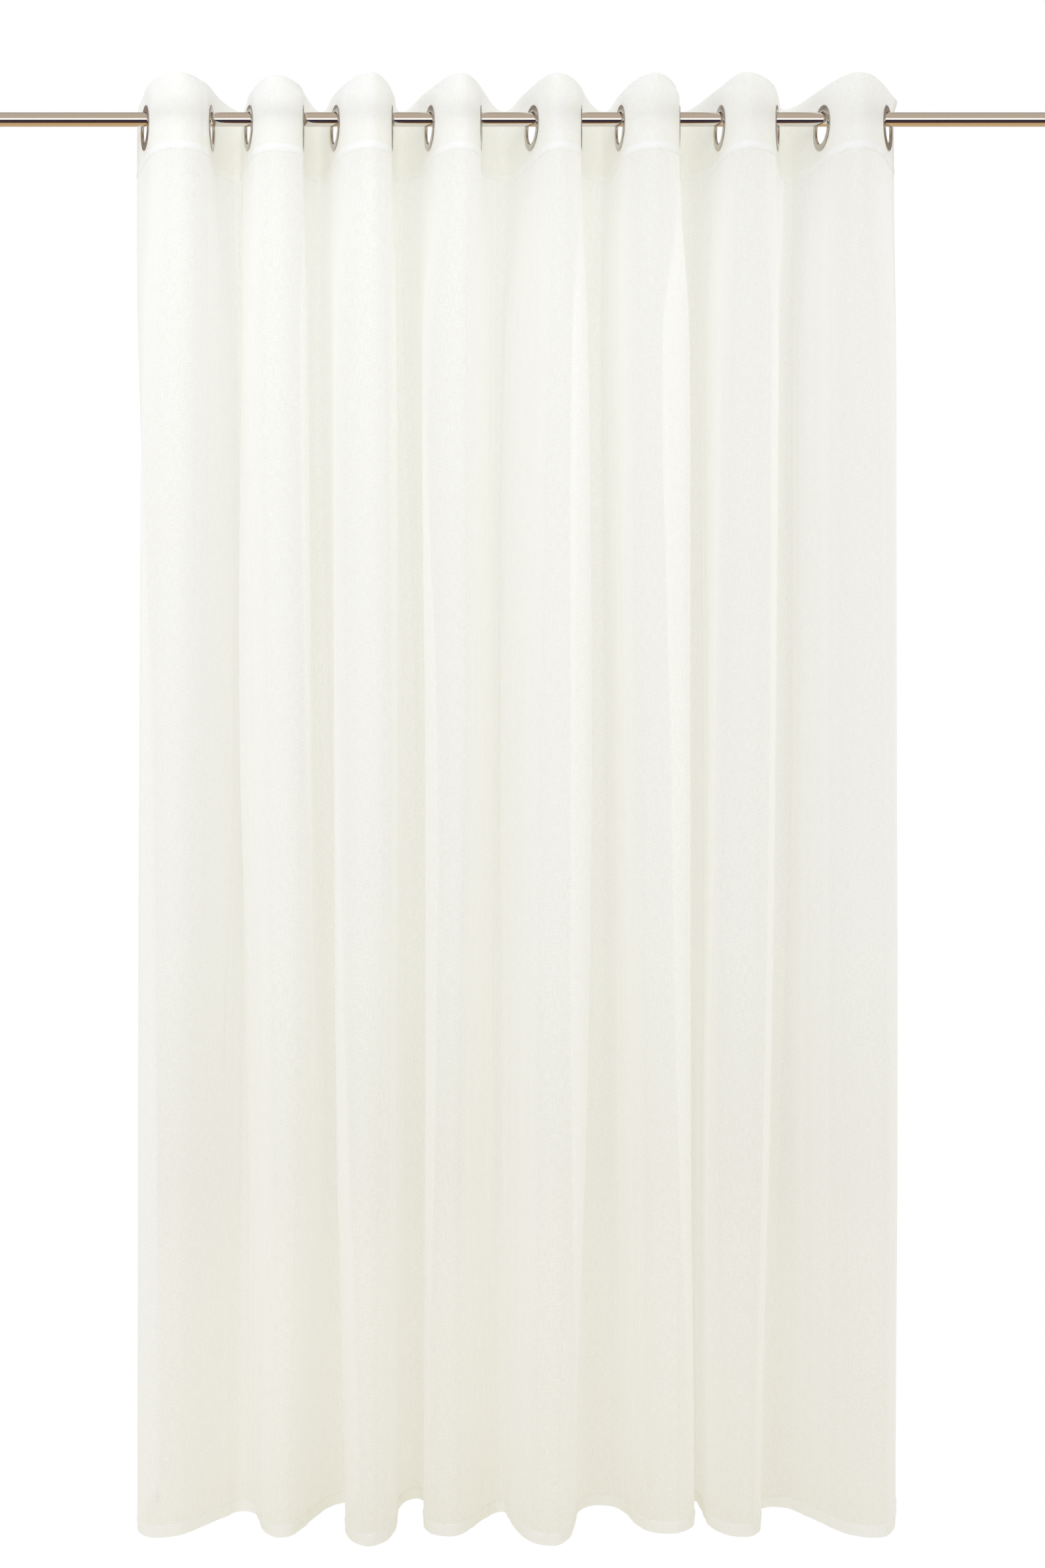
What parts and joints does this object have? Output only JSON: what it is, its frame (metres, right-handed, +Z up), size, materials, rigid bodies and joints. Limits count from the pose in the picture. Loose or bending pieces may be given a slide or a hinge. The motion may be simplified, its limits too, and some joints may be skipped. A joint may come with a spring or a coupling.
{
  "type": "voile eyelet curtain on a rod",
  "caption": "Sheer eyelet curtain hanging in deep uneven folds from a plain round metal rod that passes through its metal eyelet rings, with a turned-over heading and a narrow bottom hem.",
  "frame": {"origin": "on the rod's axis, halfway along the rod", "axes": "+Z up, -Y towards the viewer in front of the curtain, +X to the viewer's right along the rod"},
  "size_m": [1.7, 0.2039, 2.25],
  "materials": {
    "voile": "semi-sheer ivory voile with a slubby linen-look weave, matte",
    "eyelet_metal": "bright nickel plating",
    "rod_metal": "polished steel"
  },
  "bodies": {
    "root": {"curtain": "voile", "eyelet_01": "eyelet_metal", "eyelet_02": "eyelet_metal", "eyelet_03": "eyelet_metal", "eyelet_04": "eyelet_metal", "eyelet_05": "eyelet_metal", "eyelet_06": "eyelet_metal", "eyelet_07": "eyelet_metal", "eyelet_08": "eyelet_metal", "eyelet_09": "eyelet_metal", "eyelet_10": "eyelet_metal", "eyelet_11": "eyelet_metal", "eyelet_12": "eyelet_metal", "eyelet_13": "eyelet_metal", "eyelet_14": "eyelet_metal", "eyelet_15": "eyelet_metal", "eyelet_16": "eyelet_metal", "rod": "rod_metal"}
  },
  "joints": []
}
